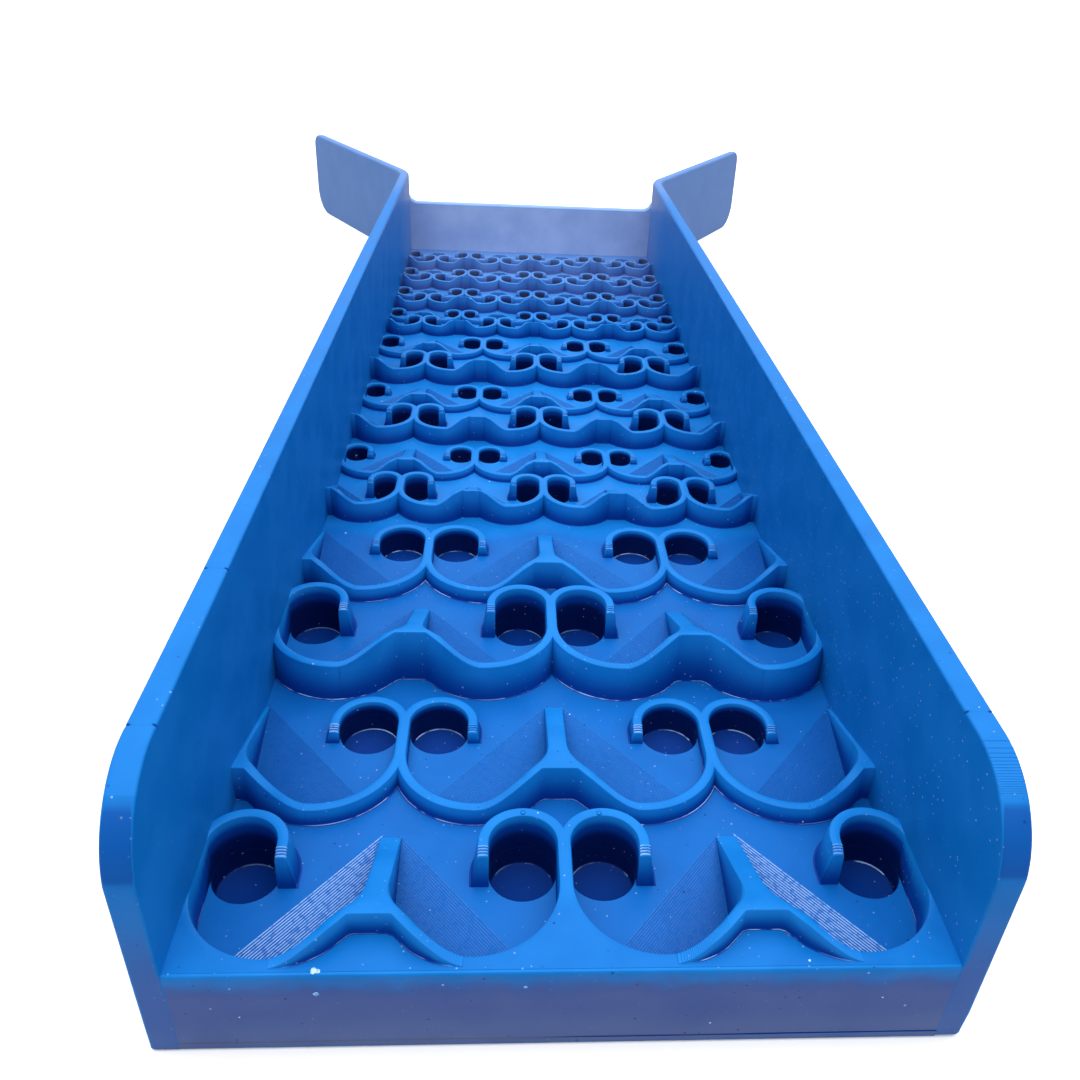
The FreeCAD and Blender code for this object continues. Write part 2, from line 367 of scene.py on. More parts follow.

# %% Glints: painted highlights as thin pale lines along a fillet, broken here and there, steady lines on printed layers, and the crumbs' own pale colour
g, take, give = new_group("glints_and_crumbs", {"Place": "Vector", "Edge": "Float", "Amount": "Float"},
                          {"Mask": "Float"})
line = g.times(g.span(take["Edge"], 0.62, 0.95),
              g.span(take["Edge"], 1.05, 1.2, 1.0, 0.0))
broken = g.span(g.noise(take["Place"], 420, 2), 0.40, 0.58)
patchy = g.span(g.noise(take["Place"], 90, 1), 0.35, 0.6, 0.25, 1.0)
# steady: unbroken painted highlight on printed layers, and the crumbs' own pale colour
steady = g.times(g.span(take["Edge"], 1.2, 1.8),
                g.span(g.noise(take["Place"], 1600, 1), 0.36, 0.48, 0.4, 1.0))
mask = g.math("MAXIMUM", g.times(g.times(line, broken), patchy), steady)
g.wire(g.times(mask, take["Amount"], True), give["Mask"])
glints_and_crumbs = g.tree
print("glints from %d nodes" % len(g.nodes))

# %% Dust: a few white specks in each square centimetre, many faint bubbles, and dark pores
g, take, give = new_group("dust", {"Place": "Vector", "Amount": "Float"},
                          {"Mask": "Float", "Pores": "Float"})


def dots(scale, least, largest, strength):
    """Round dots, at most one in each cell, in cells of 1 / scale metres."""
    cells = g.cells(take["Place"], scale)
    chance = g.node("SeparateColor", cells["Color"]).outputs
    size = g.span(chance[0], least, 1.0, 0.0, largest)
    dot = g.math("LESS_THAN", cells["Distance"], size)
    return g.times(g.times(dot, chance[1]), strength)


both = g.math("MAXIMUM", dots(420, 0.55, 0.075, 1.0), dots(1150, 0.12, 0.13, 0.42))
g.wire(g.times(both, take["Amount"], True), give["Mask"])
g.wire(g.times(dots(760, 0.3, 0.12, 0.75), take["Amount"], True), give["Pores"])
dust = g.tree
print("dust and pores from %d nodes" % len(g.nodes))

# %% Grain: fine roughness of the casting, soft waves and pits
g, take, give = new_group("grain", {"Place": "Vector"}, {"Height": "Float"})
rough = g.times(g.noise(take["Place"], 1500, 3), 0.35)
waves = g.times(g.noise(take["Place"], 260, 2), 0.5)
cells = g.cells(take["Place"], 700)
pits = g.times(g.span(cells["Distance"], 0.0, 0.14, 1.0, 0.0), -0.5)
g.wire(g.plus(g.plus(rough, waves), pits), give["Height"])
grain = g.tree
print("grain from %d nodes" % len(g.nodes))

# %% Blue resin
SHEEN_GREY_VIOLET = (0.23, 0.30, 0.51)      # grey-violet tone of the painted sheen
# pale tone of the painted highlights, which is also the crumbs' own colour; then the tones of real
# dust specks and pores
GLINT_AND_CRUMB, SPECK, PORE = (0.46, 0.68, 1.0), (0.5, 0.62, 0.8), (0.0, 0.012, 0.09)


def resin(name, sheen, dusty=0.8, face=None, far=None, sheen_tone=SHEEN_GREY_VIOLET):
    """One resin finish. sheen is the share of painted sheen all over. far, if given, adds painted
    sheen towards the wings: the y in mm where it starts and where it reaches its share, and that
    share. face, if given, paints sheen and shade on surfaces that look to the front: the painted
    sheen's share, the heights in mm between which it grows downwards, how much painted shade
    deepens the colour there, and how much painted shade they get where they lean back."""
    material = bpy.data.materials.new(name)
    material.use_nodes = True
    m = Tree(material.node_tree)
    shader = m.nodes["Principled BSDF"]
    place = m.node("TexCoord").outputs["Object"]
    where = m.split(place)

    def point_value(label):
        return m.node("Attribute", attribute_name=label).outputs["Fac"]
    foot, sheen_share = point_value("foot"), sheen
    if far is not None:
        start, end, share = far
        sheen_share = m.plus(m.span(where["Y"], start * MM, end * MM, 0.0, share), sheen)
    if face is not None:
        share, low, high, dark, shade = face
        normal = m.split(m.node("NewGeometry").outputs["Normal"])
        facing = m.times(normal["Y"], -1.0)
        forward = m.span(facing, 0.985, 0.998)
        tilted = m.times(m.span(facing, 0.6, 0.7), m.span(normal["Z"], 0.08, 0.22))
        mottle = m.times(m.math("SUBTRACT", m.noise(place, 420, 3), 0.5), 2.5 * MM)
        lowered = m.span(m.plus(where["Z"], mottle), low * MM, high * MM, 1.0, 0.0)
        amount = m.times(forward, lowered)
        # painted bounce light from the white sheet: on the lowest 6 mm the painted sheen grows to
        # 1.4 times its share
        painted_bounce = m.span(where["Z"], 1 * MM, 6 * MM, 1.4 * share, share)
        sheen_share = m.plus(m.times(amount, painted_bounce), sheen_share)
        # painted shade on faces that look to the front, and more where they lean back
        foot = m.plus(foot, m.times(amount, dark))
        foot = m.plus(foot, m.times(tilted, shade))
    colour = m.group(colour_with_painted_shade_and_sheen, Place=place, Foot=foot, Bloom=sheen_share, Haze=sheen_tone)
    pale = m.group(glints_and_crumbs, Place=place, Edge=point_value("edge"), Amount=0.8)
    specks = m.group(dust, Place=place, Amount=dusty)
    # painted highlights and the crumbs' pale colour, then real pores and specks
    lit = m.mix(pale["Mask"], colour["Color"], GLINT_AND_CRUMB)
    pitted = m.mix(specks["Pores"], lit, PORE)
    m.wire(m.mix(specks["Mask"], pitted, SPECK), shader.inputs["Base Color"])
    m.wire(colour["Roughness"], shader.inputs["Roughness"])
    shader.inputs["Specular IOR Level"].default_value = 0.08
    bump = m.node("Bump")
    bump.inputs["Strength"].default_value = 0.35
    bump.inputs["Distance"].default_value = 0.0001
    m.wire(m.group(grain, Place=place)["Height"], bump.inputs["Height"])
    m.wire(bump.outputs["Normal"], shader.inputs["Normal"])
    return material


WALL_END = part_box("right_side_wall")[1].y / MM   # where the wings begin
# painted sheen: tray_blue towards the wings, wall_blue towards the wings and on faces that look to
# the front, lip_blue and header_blue on those faces, wing_blue and header_blue all over; painted
# shade on the front faces of walls and lip, and where the walls' noses lean back
tray_blue = resin("tray_blue", 0.0, far=(20, WALL_END, 0.42))
wall_blue = resin("wall_blue", 0.0, dusty=1.0, face=(0.20, 6.0, 24.0, 0.5, 0.42),
                  far=(60, WALL_END, 0.46))
lip_blue = resin("lip_blue", 0.0, face=(0.33, LIP_TOP - 4.0, LIP_TOP + 0.4, 1.0, 0.0),
                 sheen_tone=(0.20, 0.26, 0.42))
wing_blue = resin("wing_blue", 0.46)
header_blue = resin("header_blue", 0.42, face=(0.45, 90.0, 100.0, 0.0, 0.0),
                    sheen_tone=(0.50, 0.63, 0.88))
print("five finishes from four shared effects")

# %% [markdown]
# One scroll is the whole pattern: a hook round a pocket, a straight divider that it shares with
# its mirror image, a round lobe open towards the hook, a ramp up to the crest and a stem that
# slopes back to the floor. The three zones are the same scroll at three sizes.

# %% Sizes of the scrolls
ZONES = "coarse", "medium", "fine"
SIZES = {                          # one value for each zone, in millimetres
    "pairs": (2, 3, 4),            # pairs of scrolls across the channel
    "rows": (4, 6, 8),
    "at_walls": (1, 0, 0),         # whether an odd row starts with half a pair at the walls
    "root": (1.7, 1.5, 1.2),       # width of a ridge on the floor
    "width": (1.26, 1.1, 0.9),     # width of its top
    "tall": (5.0, 3.4, 2.5),       # height of the odd rows
    "low": (2.1, 1.4, 1.1),        # height of the even rows
    "crest": (3.0, 2.0, 1.5),      # how far the crest stands above them
    "lobe_y": (6.1, 4.6, 3.6),     # centre of the lobe
    "pocket_y": (11.2, 7.5, 5.1),  # centre of the pocket
    "pocket": (3.6, 2.0, 1.4),     # its radius
    "depth": (2.5, 2.0, 1.6),      # its depth
    "drop": (1.7, 1.2, 0.8),       # how far the hook's tip reaches past the pocket's centre
    "stem": (2.4, 2.0, 1.6),       # width of the stem
    "back": (16.3, 10.9, 7.8),     # where it ends
    "flat": (2.1, 1.5, 1.2),       # half of the crest's flat front
    "soft": (0.34, 0.30, 0.25),    # rounding of the ridge's edges
    "fine": (1.0, 0.7, 0.5),       # size of the small details
    "layer": (0.088, 0.13, 0.16),  # height of a printed layer
}
LEAN = 0.12          # how far the outer walls lean out for their height
STAIR = 0.36         # fall of a sump, height over run
HALF_DIVIDER = 0.75  # half of the bar between a pair's two lobes
HALF_PATTERN = 38.0  # half of the width that the rows fill
LAND_FOOT = 0.3      # how deep the colour of the lip's land and of the lobes flush with it is


class Scroll:
    """x from the middle of the pair to the middle of the crest, y from the crest's front
    edge, z from the channel floor."""

    def __init__(self, zone):
        for label, values in SIZES.items():
            setattr(self, label, values[ZONES.index(zone)])
        self.reach = HALF_PATTERN / self.pairs
        self.stem_x = self.reach - self.stem / 2
        self.lobe = (self.stem_x - HALF_DIVIDER) / 2
        self.lobe_top = self.lobe + self.width
        self.lobe_x = HALF_DIVIDER + self.lobe
        self.pocket_top = self.pocket + self.width
        self.pocket_x = HALF_DIVIDER + self.pocket
        self.crest_x = self.reach - self.flat
        self.along = Vector((self.lobe_x - self.stem_x, self.lobe_y - self.back)).normalized()
        self.across = Vector((-self.along.y, self.along.x))

    def sump_run(self, x, y):
        """How far a point lies past the sump's upper edge, towards the crest."""
        return (Vector((x, y)) - Vector((self.stem_x, self.back))).dot(self.across)


for zone in ZONES:
    s = Scroll(zone)
    print("%-7s reach %.2f  lobe %.2f  pocket at %.2f, %.2f" % (
        zone, s.reach, s.lobe, s.pocket_x, s.pocket_y))

# %% [markdown]
# The ridge is a band that follows the scroll. At each station along it a ring of points goes
# round its section: up the inner wall, over the rounded top, down the leaning outer wall and
# into a small fillet on the floor. Rings are joined to their neighbours, and where the band
# reaches the middle of the pair or of the crest it stops, because its mirror image goes on.
# A bevelled curve would be quicker, but its section couldn't change along the way.

# %% Points on circles and lines
def on_circle(x, y, radius, angle):
    """The point of a circle round x, y at that angle in degrees."""
    turn = radians(angle)
    return x + radius * cos(turn), y + radius * sin(turn)


def blend(a, b, t):
    return a[0] + (b[0] - a[0]) * t, a[1] + (b[1] - a[1]) * t


def clamp(share):
    return min(max(share, 0), 1)


def meet(x, radius, fallback):
    """The turn at which a circle whose centre is x from the mirror plane reaches it."""
    return 180 - degrees(acos(x / radius)) if radius > x else fallback


print("a unit circle at 90 degrees: %.2f, %.2f" % on_circle(0, 0, 1, 90))

# %% One section of a ridge
ROOT = -0.3          # a ridge reaches this far down into the floor


class Ridge(Scroll):
    """A scroll's ridge. height is its level height, land what its outer wall stands on."""

    def __init__(self, zone, height, land):
        super().__init__(zone)
        self.height, self.land, self.above = height, land, max(height - land, 0)
        self.fillet = 0.2 * self.fine + 0.05
        self.floor_fillet = 0.6 * self.fillet
        self.soft_out = min(self.soft, self.above * 0.3)
        self.count = max(int(26 * self.fine ** 0.5), 12)     # rings round the hook
        self.hook_turn = meet(self.pocket_x, self.pocket_top - self.soft, 180)
        self.lobe_turn = 360 - meet(self.lobe_x, self.lobe_top - self.soft_out, 180)

    def level(self, x, y):
        return self.height

    def top(self, x, y):
        """Height of the ridge: level, then a ramp to the crest, cut by the stem's slope. The
        ramp starts in printed layers that fade out on the way up."""
        share = clamp((x - self.lobe_x) / (self.crest_x - self.lobe_x))
        if share <= 0:
            return self.height
        rise = self.crest * (1 - cos(pi * share)) / 2
        if share < 1:
            steps = int(rise / self.layer + 1e-6) * self.layer
            rise = steps + (rise - steps) * clamp((share - 0.5) / 0.3)
        slope = (self.height + self.crest) * (1 - max(y, 0) / self.back)
        gap = max(0.5 - abs(self.height + rise - slope), 0) / 0.5
        return max(min(self.height + rise, slope) - gap * gap * 0.125, 0)

    def foot(self, inner):
        """How deep the inner wall goes there: through the floor or down into the sump."""
        run = self.sump_run(*inner(0))
        return ROOT - max(run, 0) * STAIR - (self.layer if run > 0 else 0)

    def section(self, inner, outer, tops, root=ROOT, floor=0.0, land=0.0, grow=0, run=None,
                dark=1.3):
        """One full ring. inner(d) and outer(d) give the point at distance d outward from the inner
        wall and from the outer wall's top edge. tops(x, y) is the height there. The inner wall
        ends at root, with a fillet of grow on floor. run, if given, is how far the outer wall
        leans out, and dark how much painted shade the inner wall's foot gets. The fillets' edge
        values place painted highlight lines."""
        zi, zo = tops(*inner(0)), tops(*outer(0))
        above = max(zo - land, 0)
        si, so = min(self.soft, max(zi, 0) * 0.45), min(self.soft, above * 0.3)
        f = min(self.fillet, above * 0.3)
        glint_out, glint_in = min(f / 0.12, 1), min(grow / 0.08, 1)
        run = LEAN * above if run is None else run
        middle = blend(inner(si), outer(-so), 0.5)
        # drop: painted shade at the outer wall's foot, less on low ridges
        drop = min(above / 1.5, 1)
        return [(*inner(-grow), root, dark, 0), (*inner(-grow), floor, dark, 0.4 * glint_in),
                (*inner(-0.3 * grow), floor + 0.3 * grow, dark, 0.8 * glint_in),
                (*inner(0), floor + grow, dark, 0),
                (*inner(0), max(zi - si, floor + grow), 0, 0),
                (*inner(0.3 * si), zi - 0.3 * si, 0, 0),
                (*inner(si), tops(*inner(si)), 0, 0), (*middle, tops(*middle), 0, 0),
                (*outer(-so), tops(*outer(-so)), 0, 0),
                (*outer(-0.3 * so), zo - 0.3 * so, 0, 0), (*outer(0), zo - so, 0, 0),
                (*outer(run), land + f, drop, 0),
                (*outer(run + 0.3 * f), land + 0.3 * f, drop, glint_out),
                (*outer(run + f), land, drop, 0.3 * glint_out), (*outer(run + f), ROOT, 1, 0)]


trial = Ridge("coarse", Scroll("coarse").tall, 0.0)
ring = trial.section(lambda d: (d, 0), lambda d: (1 + d, 0), trial.level)
print("a section has %d points" % len(ring))

# %% The hook: a tip that leans back, a few printed layers, then round the pocket
TIP = [(0.0, None), (0.16, 0.75), (0.24, 0.58), (0.36, 0.5), (0.56, 0.48), (0.58, 0.33),
       (0.8, 0.31), (0.82, 0.16), (1.04, 0.14), (1.06, 0.02), (1.3, 0.0)]   # along, below the top
LAYER_FRONTS = (0.36, 0.58, 0.82, 1.06)
HOOK_EDGE = 0.72     # strength of the hook's glints against the other ridges'


def hook(r):
    rings = []
    px, py, size = r.pocket_x, r.pocket_y, r.fine
    for along, below in TIP:
        y, z = py - r.drop + along * size, r.height - (below or 0) * size
        # dark: painted shade at the inner wall's foot, deeper along the tip
        ring = r.section(lambda d: (px + r.pocket + d, y), lambda d: (px + r.pocket_top + d, y),
                         lambda *p: z, run=LEAN * r.height, dark=1.6 + 2 * along)
        if below is None:
            ring = [(p[0], p[1] - 0.1 * size, min(p[2], 0.0), 1, 0) for p in ring]
        # painted highlight along the front edge of each printed layer
        if along in LAYER_FRONTS:
            ring = [(*p[:4], 2.1 if 5 <= k <= 9 else p[4]) for k, p in enumerate(ring)]
        rings.append(ring)
    for k in range(r.count + 1):
        t = k / r.count

        def outer(d):
            radius = r.pocket_top + d
            return on_circle(px, py, radius, t * meet(px, radius, r.hook_turn))
        # round the pocket the inner wall gets the deepest painted shade
        rings.append(r.section(lambda d: on_circle(px, py, r.pocket + d, t * r.hook_turn), outer,
                               r.level, dark=3.6))
    return [[(*p[:4], HOOK_EDGE * p[4]) for p in ring] for ring in rings]


print("%d rings round the hook" % len(hook(trial)))

# %% The divider: half rings, from the inner wall to the middle of the pair
def divider(r, notch):
    """notch is the hook's last ring, where the mirrored hooks meet."""
    px, py, lx, ly = r.pocket_x, r.pocket_y, r.lobe_x, r.lobe_y

    def walls():
        few, half = max(r.count // 5, 2), r.count // 2
        for k in range(few):
            yield lambda d: on_circle(px, py, r.pocket + d,
                                      r.hook_turn + (180 - r.hook_turn) * k / few)
        for k in range(5):
            yield lambda d: (HALF_DIVIDER - d, py + (ly - py) * k / 4)
        for k in range(1, half + 1):
            yield lambda d: on_circle(lx, ly, r.lobe + d, 180 + (r.lobe_turn - 180) * k / half)

    def cusp_y(radius):
        return ly - sqrt(max(radius ** 2 - lx ** 2, 0))

    ends = cusp_y(r.lobe_top - r.soft_out), cusp_y(r.lobe_top + LEAN * r.above
                                                   + min(r.fillet, r.above * 0.3))
    last = max(r.count // 5, 2) + 5 + r.count // 2 - 1
    rings = []
    for k, inner in enumerate(walls()):
        share = k / last
        top_y, root_y = (notch[n][1] + (end - notch[n][1]) * share
                         for n, end in zip((8, 14), ends))
        # painted shade at the inner wall's foot, deeper near the pocket
        ring = r.section(inner, inner, r.level, grow=clamp((share - 0.25) / 0.2) * r.floor_fillet,
                         dark=1.3 + 2.3 * clamp((0.35 - share) / 0.2))[:7]
        middle = blend(ring[6], (0, top_y), 0.5)
        rings.append(ring + [(*middle, r.height, 0, 0), (0, top_y, r.height, 0, 0),
                             (0, root_y, ROOT, 1, 0)])
    return rings


print("%d half rings along the divider" % len(divider(trial, hook(trial)[-1])))

# %% The lobe: from the cusp round the front, up the ramp, then along the crest's flat front
CREST_STATIONS = 4


def crest_corner(r):
    """How far below the lobe's side its circle meets the crest's corner, in degrees."""
    return degrees(acos((r.crest_x - r.lobe_x) / r.lobe))


def lobe(r):
    lx, ly = r.lobe_x, r.lobe_y
    rings = []
    for k in range(r.count):
        t = k / r.count

        def inner(d):
            return on_circle(lx, ly, r.lobe + d, r.lobe_turn + (270 - r.lobe_turn) * t)

        def outer(d):
            radius = r.lobe_top + d
            begin = 360 - meet(lx, radius, 180) if radius > lx else r.lobe_turn
            return on_circle(lx, ly, radius, begin + (270 - begin) * t)
        root = r.foot(inner)
        rings.append(r.section(inner, outer, r.top, root, 0.0 if root > ROOT - 0.01 else root,
                               r.land, r.floor_fillet if r.sump_run(*inner(0)) < -0.2 else 0))

    # each printed layer of the ramp has a station just before and just behind its edge
    count = int(r.crest * 0.9 / r.layer)
    shares = [acos(1 - 2 * k * r.layer / r.crest) / pi for k in range(1, count + 1)]
    edges = [lx + share * (r.crest_x - lx) for share in shares]
    ramp = sorted([lx] + [e + step for e in edges for step in (-0.008, 0.008)]
                  + [a + (b - a) * 0.5 for a, b in zip([lx] + edges, edges)])
    for x in [x for x in ramp if x < r.crest_x - 0.02] + [r.crest_x]:
        share = (x - lx) / (r.crest_x - lx)

        def inner(d):
            return x, ly - sqrt(max((r.lobe + d) ** 2 - (x - lx) ** 2, 0))

        def outer(d):
            keep = d * (1 - 0.75 * share) if d > 0 else d
            return x, ly - sqrt((r.lobe_top + keep) ** 2 - (x - lx) ** 2)
        rings.append(r.section(inner, outer, r.top, r.foot(inner), r.foot(inner), r.land))

    for k in range(1, CREST_STATIONS + 1):
        x = r.crest_x + (r.reach - r.crest_x) * k / CREST_STATIONS
        turn = -crest_corner(r) * (1 - 0.8 * k / CREST_STATIONS)

        def inner(d):
            return on_circle(lx, ly, r.lobe + d, turn)
        rings.append(r.section(inner, lambda d: (x, 0.1 - d * (0.25 if d > 0 else 1)), r.top,
                               r.foot(inner), r.foot(inner), r.land))
    return rings


print("%d rings from the cusp to the crest" % len(lobe(trial)))

# %% The stem: half rings again, down the slope to the floor
def stem(r, last):
    """last is the crest's last ring, in the middle of the crest."""
    ly, top_y = r.lobe_y, last[8][1]
    corner = crest_corner(r)
    stations = [(lambda d, turn=-0.2 * corner * (1 - k / 3): on_circle(
        r.lobe_x, ly, r.lobe + d, turn), top_y + (ly - top_y) * k / 3) for k in (1, 2, 3)]
    stations += [(lambda d, y=ly + (r.back - ly) * k / 9: (r.stem_x + d, y),
                  ly + (r.back - ly) * k / 9) for k in range(1, 10)]
    rings = [last[:9] + [last[14]]]
    for inner, y in stations:
        ring = r.section(inner, inner, r.top, r.foot(inner), r.foot(inner))[:7]
        middle = blend(ring[6], (r.reach, y), 0.5)
        rings.append(ring + [(*middle, r.top(*middle), 0, 0),
                             (r.reach, y, r.top(r.reach, y), 0, 0),
                             (r.reach, max(y, 0), ROOT, 1, 0)])
    rings[-1] = [(*p[:2], min(p[2], -0.02), *p[3:]) for p in rings[-1]]
    return rings


print("%d half rings down the stem" % len(stem(trial, lobe(trial)[-1])))

# %% The whole ridge
HALVED = [(k, k + 1) for k in range(8)] + [(9, 0)]     # neighbours along a half ring


def ridge_shell(zone, height, land):
    """The ridge of one scroll. Its parts share no faces, only the rings where they meet."""
    r, shell = Ridge(zone, height, land), Shell()
    round_pocket, round_front = hook(r), lobe(r)
    for rings, pairs in ((round_pocket, None), (divider(r, round_pocket[-1]), HALVED),
                         (round_front, None), (stem(r, round_front[-1]), HALVED)):
        shell.skin(rings, pairs)
    return shell


print("a coarse ridge has %d faces" % len(ridge_shell("coarse", 5.0, 0.0).faces))

# %% [markdown]
# Rows stand in pairs of mirrored scrolls, and each row is shifted by half a pair against the
# one before. Odd rows are tall and even rows low. The tall first row is flush with the lip's
# land, so its lobes share the land's colour, and two bubbles burst on its hooks.

# %% Rows of ridges
SMALL_GLINT = 0.6    # strength of the glints in the medium and fine rows against the coarse ones
BUBBLES = (-4.34, 19.7), (3.99, 19.6)     # x, and y behind the lip's front face


def row_front(zone, row):
    """y of the crests' front edges, from the CAD row's own box."""
    s = Scroll(zone)
    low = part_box("%s_riffle_row_%d" % (zone, row))[0]
    return low.y / MM + s.lobe + s.root - s.lobe_y


def scrolls(zone, row):
    """(x of the pair's middle, side, place) of each scroll of a row. Side -1 is mirrored, and
    place moves the scroll's points into the tray."""
    s, y0 = Scroll(zone), row_front(zone, row)
    pitch, shift = 2 * HALF_PATTERN / s.pairs, row % 2 == s.at_walls
    count = s.pairs + 1 if shift else s.pairs
    first = -HALF_PATTERN if shift else -HALF_PATTERN + pitch / 2
    return [(x0, side, lambda p, x0=x0, side=side: (x0 + side * p[0], y0 + p[1], FLOOR + p[2]))
            for x0 in (first + i * pitch for i in range(count)) for side in (-1, 1)
            if abs(x0 + side * pitch / 4) < HALF_PATTERN]


def bubble_ring(shell, x, y, z, radius):
    """The raised ring that a burst bubble left on a level top, with painted shade in the dips
    beside it.
    """
    shell.skin([[(*on_circle(x, y, radius * share, 30 * k), z + rise, foot, 0) for k in range(12)]
                for share, rise, foot in ((1.0, -0.02, 1.2), (0.8, 0.05, 0.1), (0.6, -0.02, 1.4))])


def match_land(shell, height):
    """Gives the level tops the land's colour, less and less up to 6 mm from the crests."""
    for k, (_, y, z) in enumerate(shell.points):
        if height - 0.5 < z <= height + 0.01:
            shell.foot[k] = max(shell.foot[k], LAND_FOOT * clamp((6 - y) / 4))


for zone in ZONES:
    s = Scroll(zone)
    for row in range(1, s.rows + 1):
        height = s.tall if row % 2 else s.low
        at_lip = zone == "coarse" and row == 1
        one = ridge_shell(zone, height, height if at_lip else 0.0)
        if at_lip:
            match_land(one, height)
        whole = Shell()
        for _, side, place in scrolls(zone, row):
            whole.take(one, place, side < 0, 1.0 if zone == "coarse" else SMALL_GLINT)
        if at_lip:
            for x, y in BUBBLES:
                bubble_ring(whole, x, FRONT + y, FLOOR + height, 0.32)
        node = "%s_riffle_row_%d" % (zone, row)
        build_piece(node + "_scrolls", whole, tray_blue, [node])

# %% [markdown]
# Each side wall runs straight along the channel and bends out at its end. The floor and the
# header plate follow the walls' inner faces, so the walls' sizes come before their shapes.

# %% Sizes of the walls
WALL = 2.8           # thickness
NOSE = 10.0          # radius of the round front end
BEND_RADIUS = 16.0
FLARE = radians(31.5)
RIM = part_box("right_side_wall")[1].z / MM
WING_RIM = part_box("right_flare_wing")[1].z / MM
BEND = WALL_END - BEND_RADIUS * sin(FLARE) - FRONT   # where the bend starts, from the front
BEND_LENGTH = BEND_RADIUS * FLARE


def wall_face(y):
    """x of the right wall's inner face at y."""
    past = max(y - FRONT - BEND, 0)
    return HALF + BEND_RADIUS - sqrt(BEND_RADIUS ** 2 - past ** 2)


print("bend starts %.1f from the front, wall ends at y = %.2f" % (BEND, WALL_END))

# %% [markdown]
# The base plate is the channel's floor. Each scroll has a round pocket in it under the hook, and a
# sump inside the lobe that falls towards the crest in the printed layers' steps, with painted
# highlights on their risers as fine pale lines. Cutting every hole with a Boolean would be slow.
# Instead the floor is one flat sheet, triangulated round all outlines at once, and each hole has a
# bottom of its own.

# %% Outlines of the holes
SPARE = 0.3          # how far floor and sump reach on under the ridges and the walls


def pocket_rim(s, count):
    """(angle, growth) along the pocket's outline: softened where the floor ends, sharp where
    the hook stands."""
    angles = [360 * k / count for k in range(count)]
    return [(a, 0.12 * s.fine if 180 < a < 360 else 0) for a in angles]


def sump_outline(s):
    """The sump's outline: the stem's side, then the lobe's far side."""
    centre, side = Vector((s.lobe_x, s.lobe_y)), s.stem_x + SPARE
    far = degrees(atan2(s.along.y, s.along.x)) % 360
    reach = (side - s.stem_x) / -s.along.x
    return [(side, s.back - s.along.y * reach)] + [
        on_circle(*centre, s.lobe + SPARE, far + (360 - far) * k / 24) for k in range(25)]


for zone in ZONES:
    print("%-7s sump's outer corner at %.2f, %.2f" % (zone, *sump_outline(Scroll(zone))[0]))

# %% The pocket's bottom
def pocket_shell(s, count):
    """A round pocket with a softened corner at its bottom. Painted shade makes it darkest along
    its wall, and a painted highlight runs round the back of the bottom corner.
    """
    px, py, depth, corner = s.pocket_x, s.pocket_y, s.depth, 0.35 * s.fine
    rims = []
    for level in range(5):
        rim = []
        for angle, grow in pocket_rim(s, count):
            radius, z, foot, edge = (
                (s.pocket + grow, 0.0, 0.3 if grow > 0 else 2.4, 0),
                (s.pocket, -grow, 2.4, 0), (s.pocket, -depth + corner, 2.4, 0),
                (s.pocket - 0.3 * corner, -depth + 0.3 * corner, 1.6, 1),
                (s.pocket - corner, -depth, 1.4, 0.2))[level]
            # the painted highlight is strongest at the back of the corner
            edge *= 1.0 if 25 < angle < 155 else 0.3
            rim.append((*on_circle(px, py, radius, angle), z, foot, edge))
        rims.append(rim)
    shell = Shell()
    last = shell.skin(rims)[-1]
    middle = shell.add((px, py, -depth), 1.35, 0)
    shell.faces += [(last[a], last[b], middle) for a, b in around(count)]
    return shell


print("a pocket has %d faces" % len(pocket_shell(trial, 40).faces))

# %% The sump's bottom
def clip(polygon, keep):
    """The part of a plane polygon where keep(point) is above zero."""
    out = []
    for a, b in zip(polygon, polygon[1:] + polygon[:1]):
        ka, kb = keep(a), keep(b)
        if ka >= 0:
            out.append(a)
        if ka * kb < 0:
            out.append(blend(a, b, ka / (ka - kb)))
    return out


def sump_shell(s):
    """The sump's floor as the printed stair that the master left: level treads with painted shade,
    and short leaning risers with painted highlight lines."""
    shell, outline, tread = Shell(), sump_outline(s), s.layer / STAIR
    lean = 0.32 * tread

    def strip(near, far):
        return clip(clip(outline, lambda p: s.sump_run(*p) - near),
                    lambda p: far - s.sump_run(*p))
    for k in itertools.count():
        start, z = k * tread, -s.layer * k
        riser, level = strip(start, start + lean), strip(start + lean, start + tread)
        if len(riser) < 3 or len(level) < 3:
            return shell
        # risers: a little painted shade and a painted highlight (edge 2); treads: more painted
        # shade
        shell.faces.append(tuple(
            shell.add((*p, z - s.layer * (s.sump_run(*p) - start) / lean), 0.2, 2) for p in riser))
        shell.faces.append(tuple(shell.add((*p, z - s.layer), 0.6, 0) for p in level))


for zone in ZONES:
    print("%-7s sump in %d faces" % (zone, len(sump_shell(Scroll(zone)).faces)))

# %% A flat sheet with holes
def flat_sheet(shell, outline, holes, z, turn_over=False, foot=0.0):
    """Adds a flat triangulated face with holes at height z."""
    points, faces = [], []
    for loop in [outline] + holes:
        start = len(points)
        points += [Vector(p) for p in loop]
        faces.append(list(range(start, len(points))))
    verts, _, tris, _, _, owners = geometry.delaunay_2d_cdt(points, [], faces, 1, 1e-5)
    numbers = [shell.add((v.x, v.y, z), foot) for v in verts]
    for tri, owner in zip(tris, owners):
        if set(owner) == {0}:
            a, b, c = (verts[i] for i in tri[:3])
            clockwise = (b - a).cross(c - a) < 0
            loop = [numbers[i] for i in tri]
            shell.faces.append(tuple(loop[::-1]) if clockwise != turn_over else tuple(loop))


trial = Shell()
flat_sheet(trial, [(0, 0), (4, 0), (4, 4), (0, 4)], [[(1, 1), (3, 1), (3, 3), (1, 3)]], 0)
print("a square with a square hole has %d triangles" % len(trial.faces))

